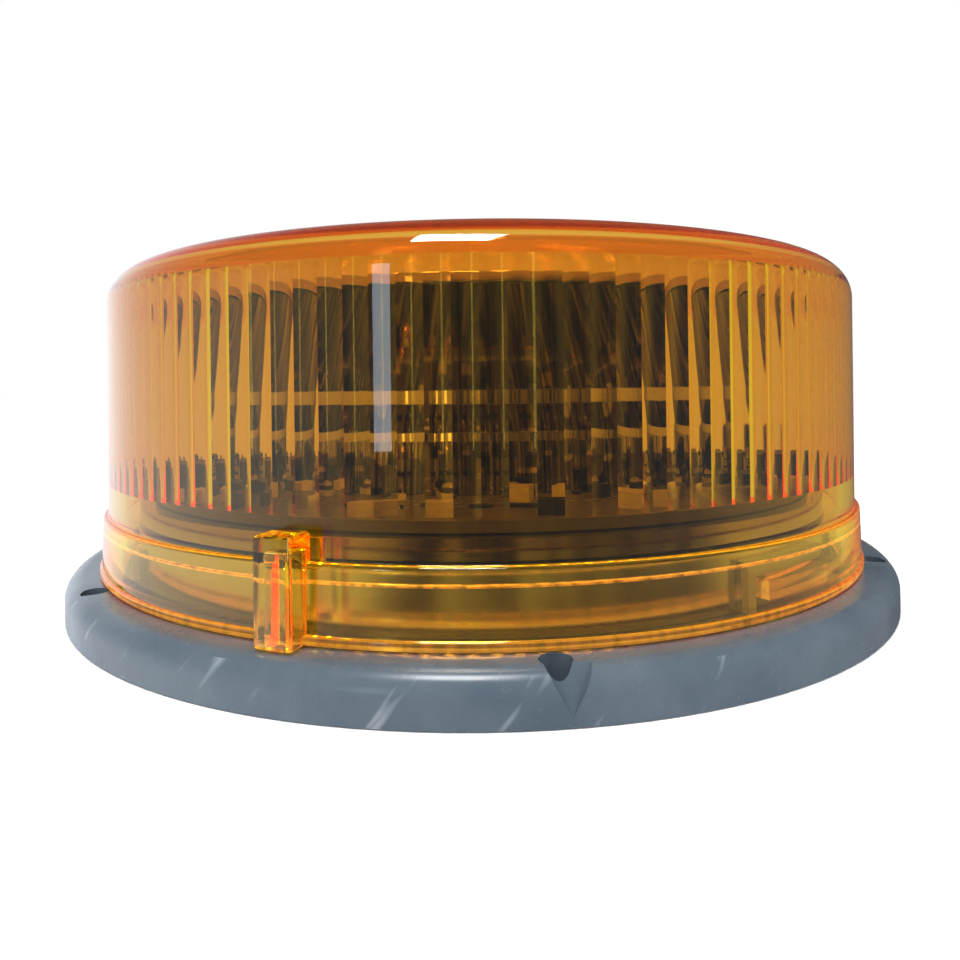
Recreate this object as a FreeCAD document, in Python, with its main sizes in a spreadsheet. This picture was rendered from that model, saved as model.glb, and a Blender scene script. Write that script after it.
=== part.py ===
"""Low-profile amber warning beacon with a twist-lock lens, in millimetres.

The frame: +Z runs up the beacon's axis, the origin is the centre of the foot, and -Y is the front,
where the lens's grip stands a little to the left. Angles are measured from the front, and grow
towards the right-hand side (+X).
"""
import FreeCAD, Part
import math
import os
import re
import Sketcher

SIZES = {
    # flange and its gasket
    "gasket_thick": 1.2,
    "gasket_outer": 75.0,
    "gasket_inner": 62.0,
    "flange_outer": 81.8,
    "flange_top": 6.7,
    "rim_low": 0.2,
    "rim_round": 3.0,
    "floor_top": 4.6,
    "pocket_inner": 24.0,
    "pocket_outer": 59.5,
    "hole_circle": 78.0,
    "hole_size": 2.1,
    # collar that the lens locks on
    "collar_outer": 70.0,
    "collar_inner": 66.4,
    "collar_top": 15.6,
    "tab_outer": 71.7,
    "tab_low": 12.0,
    "tab_high": 14.0,
    # lens
    "lens_low": 6.95,
    "lip_outer": 76.4,
    "lip_high": 8.35,
    "skirt_outer": 75.8,
    "skirt_inner": 73.3,
    "skirt_high": 17.2,
    "skirt_step": 14.5,
    "body_outer": 75.0,
    "body_inner": 72.4,
    "lens_high": 61.0,
    "top_thick": 2.6,
    "crown_round": 6.8,
    "crown_inside": 2.6,
    "flute_low": 22.7,
    "flute_high": 55.6,
    "flute_depth": 0.24,
    "lug_inner": 70.4,
    "lug_low": 9.0,
    "lug_high": 11.7,
    "grip_outer": 79.4,
    "grip_width": 5.6,
    "grip_high": 21.1,
    "pip_inner": 70.8,
    "pip_width": 2.9,
    "pip_low": 15.9,
    "pip_high": 19.9,
    # rubber ring under the lens
    "seal_inner": 72.9,
    "seal_outer": 75.4,
    "seal_low": 5.2,
    "seal_high": 6.8,
    # plate, pad and board
    "plate_outer": 69.8,
    "plate_low": 16.7,
    "plate_high": 19.6,
    "pad_inner": 6.0,
    "pad_outer": 43.0,
    "board_low": 19.8,
    "board_high": 21.4,
    "board_outer": 67.2,
    "post_circle": 58.5,
    "post_outer": 3.6,
    "screw_shank": 1.5,
    "screw_clear": 1.7,
    "screw_head": 3.1,
    "screw_head_tall": 1.9,
    "centre_post": 5.5,
    # reflector
    "cone_foot": 45.2,
    "band_one": 46.0,
    "band_one_low": 30.3,
    "band_one_high": 31.7,
    "band_two": 48.2,
    "band_two_low": 36.4,
    "band_two_high": 38.6,
    "cone_rim": 57.4,
    "cone_rim_low": 54.4,
    "cone_rim_high": 56.0,
    "cone_wall": 0.8,
    "cone_window": 2.7,
    # light emitters
    "led_side": 3.5,
    "led_thick": 0.9,
    "dome_outer": 1.6,
    "dome_tall": 1.2,
    "inner_ring": 22.0,
    "outer_ring": 47.4,
    # cable way
    "cable_back": 50.0,
    "cable_hole": 6.5,
    "cable_bore": 3.2,
    "breather_circle": 42.0,
    "breather_hole": 2.5,
    # parts on the board: side across, depth along the radius, height
    "small_long": 1.7,
    "small_wide": 0.9,
    "small_thick": 0.55,
    "tantalum_long": 4.7,
    "tantalum_wide": 3.2,
    "tantalum_thick": 2.4,
    "ceramic_long": 3.8,
    "ceramic_wide": 2.6,
    "ceramic_thick": 2.1,
    "diode_long": 4.4,
    "diode_wide": 2.7,
    "diode_thick": 2.1,
    "power_side": 6.5,
    "power_thick": 2.3,
    "coil_side": 9.0,
    "coil_thick": 4.6,
    "can_outer": 4.0,
    "can_tall": 7.8,
    "chip_side": 7.0,
    "chip_thick": 1.4,
    "terminal_long": 10.0,
    "terminal_wide": 8.0,
    "terminal_tall": 9.0,
    "fuse_long": 20.0,
    "fuse_glass": 2.4,
    "fuse_cap": 2.6,
    "grommet_lip": 8.4,
}

FLUTES = 132
FLUTE_FLATS = 3
FIXING_HOLES = 6
FIRST_HOLE = 6.3
RELIEF_TURN = 0.8
BREATHER_ANGLE = 240.0
LUGS = 3
FIRST_LUG = 40.0
LUG_SWEEP = 16.0
LENS_TRAVEL = 15.0
STOP_GAP = 0.4
STOP_SWEEP = 1.2
POSTS = 6
FIRST_POST = 34.0
GRIP_ANGLE = -19.0
PIP_ANGLE = -17.6
INNER_LEDS = 12
OUTER_LEDS = 18
LED_SIDES = 12
CABLE_KEEPOUT = 15            # degrees either side of the cable way with no resistor
CHIP_LEGS = 8

# places of the parts on the board: radius from the axis and angle from the front
TANTALUMS = [(51.0, 9.0), (61.3, 21.3), (51.0, -33.0), (52.0, 104.0), (61.0, 200.0), (61.0, 264.0)]
CERAMICS = [(64.2, -13.6), (63.5, 50.0), (63.5, -42.0), (62.0, 190.0), (64.2, 284.0), (63.5, -4.0)]
DIODES = [(63.0, 8.0), (63.0, -34.0), (52.0, 24.0), (52.0, 146.0), (62.0, 222.0), (52.0, 262.0)]
POWER_PARTS = [(55.0, 50.0), (55.0, -44.0), (55.0, -73.0), (54.0, 205.0), (54.0, 255.0)]
COILS = [(56.5, 66.0), (56.5, -59.0)]
CANS = [(59.0, 112.0), (59.0, 124.0), (59.0, 136.0)]
CHIP_PLACE = (55.5, 80.0)
TERMINAL_PLACE = (57.5, 165.0)
FUSE_PLACE = (54.5, 234.0)

UP = FreeCAD.Vector(0, 0, 1)

doc = FreeCAD.newDocument("beacon")
sheet = doc.addObject("Spreadsheet::Sheet", "Sizes")
for row, (alias, value) in enumerate(SIZES.items(), start=1):
    sheet.set("A%d" % row, alias)
    sheet.set("B%d" % row, str(value))
    sheet.setAlias("B%d" % row, alias)
doc.recompute()

nodes = []


def bound(words):
    """The same expression as other objects write it, with the sheet's name before each alias."""
    return re.sub(r"[a-z][a-z_]*", lambda found: "Sizes." + found.group(), words)


def size(words):
    """The present value of an expression in the sheet's aliases."""
    return float(sheet.evalExpression(words))


def around(radius, angle, height=0.0):
    """A point at a radius and an angle from the front, growing towards +X."""
    turn = math.radians(angle)
    return FreeCAD.Vector(radius * math.sin(turn), -radius * math.cos(turn), height)


def facing(radius, angle, height=0.0):
    """A placement at that point, turned so that its own -Y looks outwards."""
    return FreeCAD.Placement(around(radius, angle, height), FreeCAD.Rotation(UP, angle))


def shifted(across, inwards):
    """A placement moved in the plan, to use after facing()."""
    return FreeCAD.Placement(FreeCAD.Vector(across, inwards, 0), FreeCAD.Rotation())


def node(label, feature):
    """Marks a finished sub-part, whose label names its file."""
    feature.Label = label
    nodes.append(feature)
    return feature


def bind(feature, **sizes):
    """Binds properties of a primitive to the sheet."""
    for name, words in sizes.items():
        feature.setExpression(name, bound(words))
    return feature


# ---- building blocks -------------------------------------------------------------------------


def revolved(name, corners):
    """A PartDesign body: a closed outline of (radius, height) corners turned about the axis."""
    body = doc.addObject("PartDesign::Body", name)
    plane = next(item for item in body.Origin.OriginFeatures if item.Role == "XZ_Plane")
    sketch = body.newObject("Sketcher::SketchObject", name + "_outline")
    sketch.AttachmentSupport = [(plane, "")]
    sketch.MapMode = "FlatFace"
    places = [FreeCAD.Vector(size(r), size(z), 0) for r, z in corners]
    count = len(places)
    for i in range(count):
        sketch.addGeometry(Part.LineSegment(places[i], places[(i + 1) % count]), False)
    for i in range(count):
        sketch.addConstraint(Sketcher.Constraint("Coincident", i, 2, (i + 1) % count, 1))
    for i, corner in enumerate(corners):
        for kind, words, axis in (("DistanceX", corner[0], -2), ("DistanceY", corner[1], -1)):
            if words == "0":
                sketch.addConstraint(Sketcher.Constraint("PointOnObject", i, 1, axis))
                continue
            found = sketch.addConstraint(Sketcher.Constraint(kind, -1, 1, i, 1, size(words)))
            sketch.setExpression("Constraints[%d]" % found, bound(words))
    turned = body.newObject("PartDesign::Revolution", name + "_turned")
    turned.Profile = sketch
    turned.ReferenceAxis = (sketch, ["V_Axis"])
    turned.Angle = 360
    doc.recompute()
    return body


def rounded(body, radius, rims):
    """Rounds the circular edges of a revolved body that lie at the given (radius, height)."""
    turned = body.Tip
    names = []
    for r, z in rims:
        for number, edge in enumerate(turned.Shape.Edges, start=1):
            curve = edge.Curve
            if not isinstance(curve, Part.Circle):
                continue
            if abs(curve.Radius - size(r)) < 0.01 and abs(curve.Center.z - size(z)) < 0.01:
                names.append("Edge%d" % number)
    fillet = body.newObject("PartDesign::Fillet", body.Name + "_round")
    fillet.Base = (turned, names)
    fillet.setExpression("Radius", bound(radius))
    doc.recompute()
    return body


def post(name, radius, low, high, place=FreeCAD.Placement()):
    """An upright cylinder between two heights, at a place in the plan."""
    made = bind(doc.addObject("Part::Cylinder", name), Radius=radius, Height="%s - (%s)" % (high, low))
    made.Placement = FreeCAD.Placement(FreeCAD.Vector(0, 0, size(low)), FreeCAD.Rotation()) * place
    return made


def prism(name, sides, radius, low, tall, place):
    """An upright prism on a regular polygon, its corners at a radius."""
    made = bind(doc.addObject("Part::Prism", name), Circumradius=radius, Height=tall)
    made.Polygon = sides
    made.Placement = FreeCAD.Placement(FreeCAD.Vector(0, 0, size(low)), FreeCAD.Rotation()) * place
    return made


def block(name, width, depth, low, high, place, inset="0"):
    """An upright box, centred on its place across the width, its outer side set in from it."""
    made = bind(doc.addObject("Part::Box", name), Length=width, Width=depth, Height="%s - (%s)" % (high, low))
    corner = FreeCAD.Vector(-size(width) / 2, size(inset), size(low))
    made.Placement = place * FreeCAD.Placement(corner, FreeCAD.Rotation())
    return made


def sector(name, inner, outer, low, high, start, sweep):
    """A piece of a ring, from one angle round by another."""
    tall = "%s - (%s)" % (high, low)
    big = bind(doc.addObject("Part::Cylinder", name + "_outer"), Radius=outer, Height=tall)
    small = bind(doc.addObject("Part::Cylinder", name + "_inner"), Radius=inner, Height=tall)
    ring = doc.addObject("Part::Cut", name)
    for cylinder in (big, small):
        cylinder.Angle = sweep
        # a cylinder's own angle starts at +X, which is 90 degrees round from the front
        cylinder.Placement = FreeCAD.Placement(
            FreeCAD.Vector(0, 0, size(low)), FreeCAD.Rotation(UP, start - 90)
        )
    small.Angle = 360
    ring.Base = big
    ring.Tool = small
    return ring


def together(name, parts):
    """Several separate solids as one object."""
    group = doc.addObject("Part::Compound", name)
    group.Links = parts
    return group


def joined(name, parts):
    """Several touching solids fused into one."""
    fused = doc.addObject("Part::MultiFuse", name)
    fused.Shapes = parts
    return fused


def cut(name, base, tool):
    """A solid with another taken out of it; the cut has to remove something."""
    made = doc.addObject("Part::Cut", name)
    made.Base = base
    made.Tool = tool
    doc.recompute()
    if made.Shape.Volume > base.Shape.Volume - 0.01:
        raise RuntimeError(name + " removes nothing")
    return made


# ---- base housing ----------------------------------------------------------------------------


def make_base_housing():
    """Flanged disc with a collar, bayonet tabs, screw posts, fixing holes and a ribbed underside."""
    disc = revolved(
        "base_disc",
        [
            ("0", "gasket_thick"),
            ("gasket_outer + 0.2", "gasket_thick"),
            ("gasket_outer + 0.2", "rim_low"),
            ("flange_outer", "rim_low"),
            ("flange_outer", "flange_top"),
            ("seal_outer", "flange_top"),
            ("seal_outer", "seal_low"),
            ("seal_inner", "seal_low"),
            ("seal_inner", "flange_top"),
            ("collar_outer", "flange_top"),
            ("collar_outer", "collar_top"),
            ("collar_inner", "collar_top"),
            ("collar_inner", "floor_top"),
            ("0", "floor_top"),
        ],
    )
    rounded(disc, "rim_round", [("flange_outer", "flange_top")])
    grown = [disc]
    taken = []
    for i in range(POSTS):
        place = facing(size("post_circle"), FIRST_POST + 360 / POSTS * i)
        grown.append(post("post_%d" % i, "post_outer", "floor_top - 0.5", "plate_low", place))
        taken.append(post("post_hole_%d" % i, "screw_shank", "plate_low - 8", "plate_low + 1", place))
    grown.append(post("centre_post", "centre_post", "floor_top - 0.5", "plate_low"))
    taken.append(post("centre_hole", "screw_shank", "plate_low - 9", "plate_low + 1"))
    for i in range(LUGS):
        grown += make_lock(i, FIRST_LUG + 360 / LUGS * i)
    below = "gasket_thick - 1"
    taken.append(make_rim_relief(FIRST_HOLE + RELIEF_TURN))
    for i in range(FIXING_HOLES):
        angle = FIRST_HOLE + 360 / FIXING_HOLES * i
        place = facing(size("hole_circle"), angle)
        taken.append(post("hole_%d" % i, "hole_size", "rim_low - 1", "flange_top + 1", place))
        taken.append(sector("pocket_%d" % i, "pocket_inner", "pocket_outer", below, "gasket_thick + 1.5",
                            angle - 26, 52))
    cable = facing(-size("cable_back"), 0)
    breather = facing(size("breather_circle"), BREATHER_ANGLE)
    taken.append(post("cable_way", "cable_hole", below, "floor_top + 1", cable))
    taken.append(post("breather_way", "breather_hole", below, "floor_top + 1", breather))
    whole = joined("base_whole", grown)
    return node("base_housing", cut("base_cut", whole, together("base_tools", taken)))


def make_lock(number, middle):
    """A tab that hooks over one locked lug of the lens, with a stop at each end of its travel."""
    root = "collar_outer - 0.5"
    low = "flange_top - 0.2"
    start = middle - LUG_SWEEP / 2 - STOP_GAP - STOP_SWEEP
    end = middle + LUG_SWEEP / 2 + LENS_TRAVEL + 2 * STOP_GAP
    return [
        sector("tab_%d" % number, root, "tab_outer", "tab_low", "tab_high", start, LUG_SWEEP - 0.2),
        sector("stop_%d" % number, root, "tab_outer", low, "tab_low + 0.1", start, STOP_SWEEP),
        sector("end_%d" % number, root, "tab_outer", low, "lug_high", end, STOP_SWEEP),
    ]


def make_rim_relief(angle):
    """A three-cornered dent beside the front fixing hole, widest on the flange, pointed below."""
    wedge = doc.addObject("Part::Wedge", "relief")
    # its own Y runs down the rim and its own Z runs in from the rim
    wedge.Xmin, wedge.Xmax = -2.9, 2.9
    wedge.Ymin, wedge.Ymax = 0.0, 5.4
    wedge.Zmin, wedge.Zmax = -1.0, 2.6
    wedge.X2min, wedge.X2max = -0.05, 0.05
    wedge.Z2min, wedge.Z2max = -1.0, 0.0
    tipped = FreeCAD.Placement(FreeCAD.Vector(), FreeCAD.Rotation(FreeCAD.Vector(1, 0, 0), -90))
    wedge.Placement = facing(size("flange_outer"), angle, size("flange_top + 0.05")) * tipped
    return wedge


# ---- lens ------------------------------------------------------------------------------------


def make_lens():
    """The amber moulding: skirt, ledge, fluted wall and flat top, with its grip and its lugs."""
    shell = revolved(
        "lens_shell",
        [
            ("skirt_inner", "lens_low"),
            ("lip_outer", "lens_low"),
            ("lip_outer", "lip_high"),
            ("skirt_outer", "lip_high"),
            ("skirt_outer", "skirt_high"),
            ("body_outer", "skirt_high"),
            ("body_outer", "lens_high"),
            ("0", "lens_high"),
            ("0", "lens_high - top_thick"),
            ("body_inner - crown_inside", "lens_high - top_thick"),
            ("body_inner", "lens_high - top_thick - crown_inside"),
            ("body_inner", "skirt_step"),
            ("skirt_inner", "skirt_step"),
        ],
    )
    rounded(shell, "crown_round", [("body_outer", "lens_high")])
    fluted = cut("lens_fluted", shell, make_flute_core())
    pip = block("pip", "pip_width", "body_inner - pip_inner + 0.5", "pip_low", "pip_high",
                facing(size("body_inner + 0.5"), PIP_ANGLE))
    grown = [fluted, make_grip(), pip]
    for i in range(LUGS):
        start = FIRST_LUG + 360 / LUGS * i - LUG_SWEEP / 2
        grown.append(sector("lug_%d" % i, "lug_inner", "skirt_inner + 0.5", "lug_low", "lug_high",
                            start, LUG_SWEEP))
    whole = joined("lens_whole", grown)
    pocket = block("grip_pocket", "grip_width - 2.6", "3.1 * 1", "lens_low - 1", "grip_high - 2.2",
                   facing(size("grip_outer"), GRIP_ANGLE), "1.3 * 1")
    return node("lens", cut("lens_done", whole, pocket))


def make_flute_core():
    """The space inside the fluted wall: a prism in which each flute bows inwards over three flats.

    Neither a pattern of cuts nor a constrained sketch fits an outline of this many tangled sides, so
    its wire is made side by side from the sheet's radius and depth.
    """
    crest = size("body_inner")
    depth = size("flute_depth")
    low = size("flute_low")
    corners = []
    for i in range(FLUTES * FLUTE_FLATS + 1):
        across = 2 * (i % FLUTE_FLATS) / FLUTE_FLATS - 1
        corners.append(around(crest + depth * across * across, 360 / FLUTES * i / FLUTE_FLATS, low))
    core = doc.addObject("Part::Feature", "flute_core")
    core.Shape = Part.Face(Part.makePolygon(corners)).extrude(UP * (size("flute_high") - low))
    return core


def make_grip():
    """The upright rib on the skirt that the thumb turns the lens by."""
    depth = "grip_outer - body_inner - 1"
    place = facing(size("grip_outer"), GRIP_ANGLE)
    rib = block("grip_block", "grip_width", depth, "lens_low", "grip_high", place)
    soft = doc.addObject("Part::Fillet", "grip_rib")
    soft.Base = rib
    doc.recompute()
    outward = around(size("grip_outer"), GRIP_ANGLE)
    rims = []
    for number, edge in enumerate(rib.Shape.Edges, start=1):
        middle = edge.CenterOfMass
        reach = (middle.x * outward.x + middle.y * outward.y) / outward.Length
        if reach > size("grip_outer") - 0.01 and middle.z > size("lens_low") + 0.1:
            rims.append((number, 0.7, 0.7))
    soft.Edges = rims
    return soft


# ---- rubber parts, plate and board -----------------------------------------------------------


def make_ring(label, inner, outer, low, high):
    """A flat ring, or a disc where the inner radius is 0."""
    corners = [(inner, low), (outer, low), (outer, high), (inner, high)]
    return node(label, revolved(label + "_body", corners))


def make_cable_grommet():
    """Rubber bush with a lip above the floor, and a bore for the cable."""
    bush = revolved(
        "grommet_body",
        [
            ("cable_bore", "gasket_thick + 0.2"),
            ("cable_hole - 0.1", "gasket_thick + 0.2"),
            ("cable_hole - 0.1", "floor_top"),
            ("grommet_lip", "floor_top"),
            ("grommet_lip - 0.8", "floor_top + 1.4"),
            ("cable_bore", "floor_top + 1.4"),
        ],
    )
    bush.Placement = FreeCAD.Placement(FreeCAD.Vector(0, size("cable_back"), 0), FreeCAD.Rotation())
    return node("cable_grommet", bush)


def make_breather_plug():
    """Small mushroom plug that lets the housing breathe."""
    plug = revolved(
        "plug_body",
        [
            ("0", "gasket_thick + 1.5"),
            ("breather_hole - 0.1", "gasket_thick + 1.5"),
            ("breather_hole - 0.1", "floor_top"),
            ("breather_hole + 1.7", "floor_top"),
            ("breather_hole + 0.7", "floor_top + 1.6"),
            ("0", "floor_top + 1.6"),
        ],
    )
    plug.Placement = facing(size("breather_circle"), BREATHER_ANGLE)
    return node("breather_plug", plug)


def plate_holes(name, low, high):
    """Clearance holes for the six screws, the centre screw and the cable, as one tool."""
    tools = [
        post("%s_screw_%d" % (name, i), "screw_clear", low + " - 1", high + " + 1",
             facing(size("post_circle"), FIRST_POST + 360 / POSTS * i))
        for i in range(POSTS)
    ]
    tools.append(post(name + "_centre", "screw_clear", low + " - 1", high + " + 1"))
    cable = facing(-size("cable_back"), 0)
    tools.append(post(name + "_cable", "cable_hole", low + " - 1", high + " + 1", cable))
    return together(name + "_tools", tools)


def make_drilled_disc(label, outer, low, high):
    """A flat disc with the plate's holes in it."""
    disc = revolved(label + "_disc", [("0", low), (outer, low), (outer, high), ("0", high)])
    return node(label, cut(label + "_cut", disc, plate_holes(label, low, high)))


# ---- reflector -------------------------------------------------------------------------------


def make_reflector():
    """Thin mirror drum that flares upwards, with two upright bands, a rim and a floor.

    The floor has a window over each inner light emitter, and the centre screw holds it down.
    """
    outside = [
        ("cone_foot", "board_high"),
        ("band_one", "band_one_low"),
        ("band_one", "band_one_high"),
        ("band_two", "band_two_low"),
        ("band_two", "band_two_high"),
        ("cone_rim - 1", "cone_rim_low"),
        ("cone_rim", "cone_rim_low"),
        ("cone_rim", "cone_rim_high"),
    ]
    inside = [
        ("cone_rim - 1 - cone_wall", "cone_rim_high"),
        ("band_two - cone_wall", "band_two_high"),
        ("band_one - cone_wall", "band_one_high"),
        ("cone_foot - cone_wall", "board_high + cone_wall"),
        ("screw_clear", "board_high + cone_wall"),
        ("screw_clear", "board_high"),
    ]
    drum = revolved("reflector_body", outside + inside)
    windows = [
        post("window_%d" % i, "cone_window", "board_high - 1", "board_high + 2",
             facing(size("inner_ring"), 360 / INNER_LEDS * i))
        for i in range(INNER_LEDS)
    ]
    return node("reflector_cone", cut("reflector_cut", drum, together("reflector_windows", windows)))


# ---- screws ----------------------------------------------------------------------------------


def screw(name, head_low, tip, place=FreeCAD.Placement()):
    """A screw standing upright: a hexagon head on a plain shank."""
    head = prism(name + "_head", 6, "screw_head", head_low, "screw_head_tall", place)
    shank = post(name + "_shank", "screw_shank", tip, head_low + " + 0.5", place)
    return joined(name, [head, shank])


def make_screws():
    """One screw down the reflector's centre and six through the board into the posts."""
    node("reflector_screw", screw("centre_screw", "board_high + cone_wall", "plate_low - 8"))
    ring = [
        screw("board_screw_%d" % i, "board_high", "plate_low - 7",
              facing(size("post_circle"), FIRST_POST + 360 / POSTS * i))
        for i in range(POSTS)
    ]
    node("board_screws", together("board_screw_group", ring))


# ---- light emitters and the parts on the board -----------------------------------------------


def make_leds(label, ring, count, turn):
    """A ring of square LED packages on the board, and the many-sided clear lens on each."""
    packages = []
    domes = []
    for i in range(count):
        place = facing(size(ring), turn + 360 / count * i)
        packages.append(block("%s_package_%d" % (label, i), "led_side", "led_side", "board_high",
                              "board_high + led_thick", place, "0 - led_side / 2"))
        domes.append(prism("%s_dome_%d" % (label, i), LED_SIDES, "dome_outer", "board_high + led_thick",
                           "dome_tall", place))
    node(label + "_leds", together(label + "_packages", packages))
    node(label + "_led_domes", together(label + "_domes", domes))


def make_blocks(label, places, width, depth, height):
    """Small upright blocks standing on the board, each facing the axis."""
    made = [
        block("%s_%d" % (label, i), width, depth, "board_high", "board_high + " + height,
              facing(radius, angle), "0 - %s / 2" % depth)
        for i, (radius, angle) in enumerate(places)
    ]
    return node(label, together(label + "_group", made))


def make_chip_resistors():
    """A small resistor beside each outer light emitter, and a short row at the front."""
    pitch = 360 / OUTER_LEDS
    ring = size("outer_ring")
    places = [(ring, pitch * i) for i in range(OUTER_LEDS) if abs(pitch * i - 180) > CABLE_KEEPOUT]
    places += [(57.0, 3 * i - 18) for i in range(11)]
    return make_blocks("chip_resistors", places, "small_long", "small_wide", "small_thick")


def make_power_parts():
    """Switching transistors: a moulded block with a metal tab under its outer end."""
    bodies = []
    tabs = []
    for i, (radius, angle) in enumerate(POWER_PARTS):
        place = facing(radius, angle)
        bodies.append(block("power_%d" % i, "power_side", "power_side - 0.6", "board_high + 0.4",
                            "board_high + power_thick", place, "0 - power_side / 2 + 0.6"))
        tabs.append(block("power_tab_%d" % i, "power_side - 1.3", "power_side + 1.2", "board_high",
                          "board_high + 0.4", place, "0 - power_side / 2 - 0.6"))
    node("switching_transistors", together("power_bodies", bodies))
    node("transistor_tabs", together("power_tabs", tabs))


def make_coils():
    """Shielded power inductors with cut corners."""
    coils = []
    for i, (radius, angle) in enumerate(COILS):
        raw = block("coil_raw_%d" % i, "coil_side", "coil_side", "board_high", "board_high + coil_thick",
                    facing(radius, angle), "0 - coil_side / 2")
        doc.recompute()
        upright = [
            (number, 1.6, 1.6)
            for number, edge in enumerate(raw.Shape.Edges, start=1)
            if abs(edge.tangentAt(edge.FirstParameter).z) > 0.9
        ]
        coil = doc.addObject("Part::Chamfer", "coil_%d" % i)
        coil.Base = raw
        coil.Edges = upright
        coils.append(coil)
    return node("power_inductors", together("coil_group", coils))


def make_cans():
    """Electrolytic capacitors: a can with a bevelled top, on a square plastic seat."""
    cans = []
    seats = []
    for i, (radius, angle) in enumerate(CANS):
        outline = [
            ("0", "board_high + 0.8"),
            ("can_outer", "board_high + 0.8"),
            ("can_outer", "board_high + can_tall - 0.4"),
            ("can_outer - 0.4", "board_high + can_tall"),
            ("0", "board_high + can_tall"),
        ]
        can = revolved("can_%d" % i, outline)
        can.Placement = facing(radius, angle)
        cans.append(can)
        seats.append(block("can_seat_%d" % i, "2 * can_outer + 0.4", "2 * can_outer + 0.4", "board_high",
                           "board_high + 0.8", facing(radius, angle), "0 - can_outer - 0.2"))
    node("electrolytic_capacitors", together("can_group", cans))
    node("capacitor_seats", together("seat_group", seats))


def make_controller():
    """The controller chip, with a row of legs along each of two sides."""
    radius, angle = CHIP_PLACE
    place = facing(radius, angle)
    node("controller_chip", block("chip_body", "chip_side", "chip_side", "board_high + 0.15",
                                  "board_high + chip_thick", place, "0 - chip_side / 2"))
    legs = []
    pitch = size("chip_side") / CHIP_LEGS
    for side in (-1, 1):
        for i in range(CHIP_LEGS):
            across = pitch * (i - (CHIP_LEGS - 1) / 2)
            spot = place * shifted(across, side * size("chip_side / 2 + 0.45"))
            legs.append(block("leg_%d_%d" % (side + 1, i), "0.4 * 1", "0.9 * 1", "board_high",
                              "board_high + 0.5", spot, "-0.45 * 1"))
    node("controller_legs", together("leg_group", legs))


def make_terminal_block():
    """Two-way screw terminal: a stepped block with wire mouths, and a screw in each way."""
    radius, angle = TERMINAL_PLACE
    place = facing(radius, angle)
    top = "board_high + terminal_tall"
    body = block("terminal_body", "terminal_long", "terminal_wide", "board_high", top, place,
                 "0 - terminal_wide / 2")
    step = block("terminal_step", "terminal_long + 1", "1.6 * 1", top + " - 3", top + " + 1", place,
                 "terminal_wide / 2 - 1.5")
    wells = [step]
    screws = []
    for side in (-1, 1):
        spot = place * shifted(side * size("terminal_long / 4"), -0.6)
        wells.append(post("well_%d" % (side + 1), "1.9 * 1", top + " - 2.4", top + " + 1", spot))
        wells.append(block("mouth_%d" % (side + 1), "3.2 * 1", "2.6 * 1", "board_high + 1.4",
                           "board_high + 4.6", spot, "terminal_wide / 2 - 1.6"))
        head = post("terminal_head_%d" % (side + 1), "1.8 * 1", top + " - 2.4", top + " - 1.2", spot)
        slot = block("terminal_slot_%d" % (side + 1), "5 * 1", "0.6 * 1", top + " - 1.7", top, spot,
                     "-0.3 * 1")
        screws.append(cut("terminal_screw_%d" % (side + 1), head, slot))
    node("terminal_block", cut("terminal_cut", body, together("terminal_tools", wells)))
    node("terminal_screws", together("terminal_screw_group", screws))


def make_fuse():
    """A glass cartridge fuse lying in two spring clips."""
    radius, angle = FUSE_PLACE
    height = size("board_high + fuse_cap + 0.9")
    lying = FreeCAD.Placement(FreeCAD.Vector(0, 0, height), FreeCAD.Rotation(FreeCAD.Vector(0, 1, 0), 90))
    place = facing(radius, angle) * lying
    glass = bind(doc.addObject("Part::Cylinder", "fuse_glass"), Radius="fuse_glass", Height="fuse_long - 9.6")
    glass.Placement = place * FreeCAD.Placement(UP * (4.8 - size("fuse_long") / 2), FreeCAD.Rotation())
    node("fuse_tube", glass)
    caps = []
    clips = []
    for side in (-1, 1):
        shift = UP * (side * size("fuse_long / 2 - 2.4") - 2.4)
        cap = bind(doc.addObject("Part::Cylinder", "fuse_cap_%d" % (side + 1)), Radius="fuse_cap",
                   Height="4.8 * 1")
        cap.Placement = place * FreeCAD.Placement(shift, FreeCAD.Rotation())
        caps.append(cap)
        spot = facing(radius, angle) * shifted(side * size("fuse_long / 2 - 2.4"), 0)
        clip = block("clip_%d" % (side + 1), "3.2 * 1", "2 * fuse_cap + 1.4", "board_high",
                     "board_high + fuse_cap * 1.8", spot, "0 - fuse_cap - 0.7")
        hollow = bind(doc.addObject("Part::Cylinder", "clip_way_%d" % (side + 1)),
                      Radius="fuse_cap + 0.02", Height="8 * 1")
        hollow.Placement = place * FreeCAD.Placement(shift - UP * 1.6, FreeCAD.Rotation())
        clips.append(cut("clip_cut_%d" % (side + 1), clip, hollow))
    node("fuse_caps", together("fuse_cap_group", caps))
    node("fuse_clips", together("clip_group", clips))


# ---- the whole beacon ------------------------------------------------------------------------

make_base_housing()
make_ring("mounting_gasket", "gasket_inner", "gasket_outer", "0", "gasket_thick")
make_ring("lens_seal", "seal_inner", "seal_outer", "seal_low", "seal_high")
make_cable_grommet()
make_breather_plug()
make_drilled_disc("heat_sink_plate", "plate_outer", "plate_low", "plate_high")
make_ring("thermal_pad", "pad_inner", "pad_outer", "plate_high", "board_low")
make_drilled_disc("circuit_board", "board_outer", "board_low", "board_high")
make_screws()
make_leds("inner", "inner_ring", INNER_LEDS, 0)
make_leds("outer", "outer_ring", OUTER_LEDS, 180 / OUTER_LEDS)
make_reflector()
make_blocks("tantalum_capacitors", TANTALUMS, "tantalum_long", "tantalum_wide", "tantalum_thick")
make_blocks("ceramic_capacitors", CERAMICS, "ceramic_long", "ceramic_wide", "ceramic_thick")
make_blocks("rectifier_diodes", DIODES, "diode_long", "diode_wide", "diode_thick")
make_chip_resistors()
make_power_parts()
make_coils()
make_cans()
make_controller()
make_terminal_block()
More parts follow.
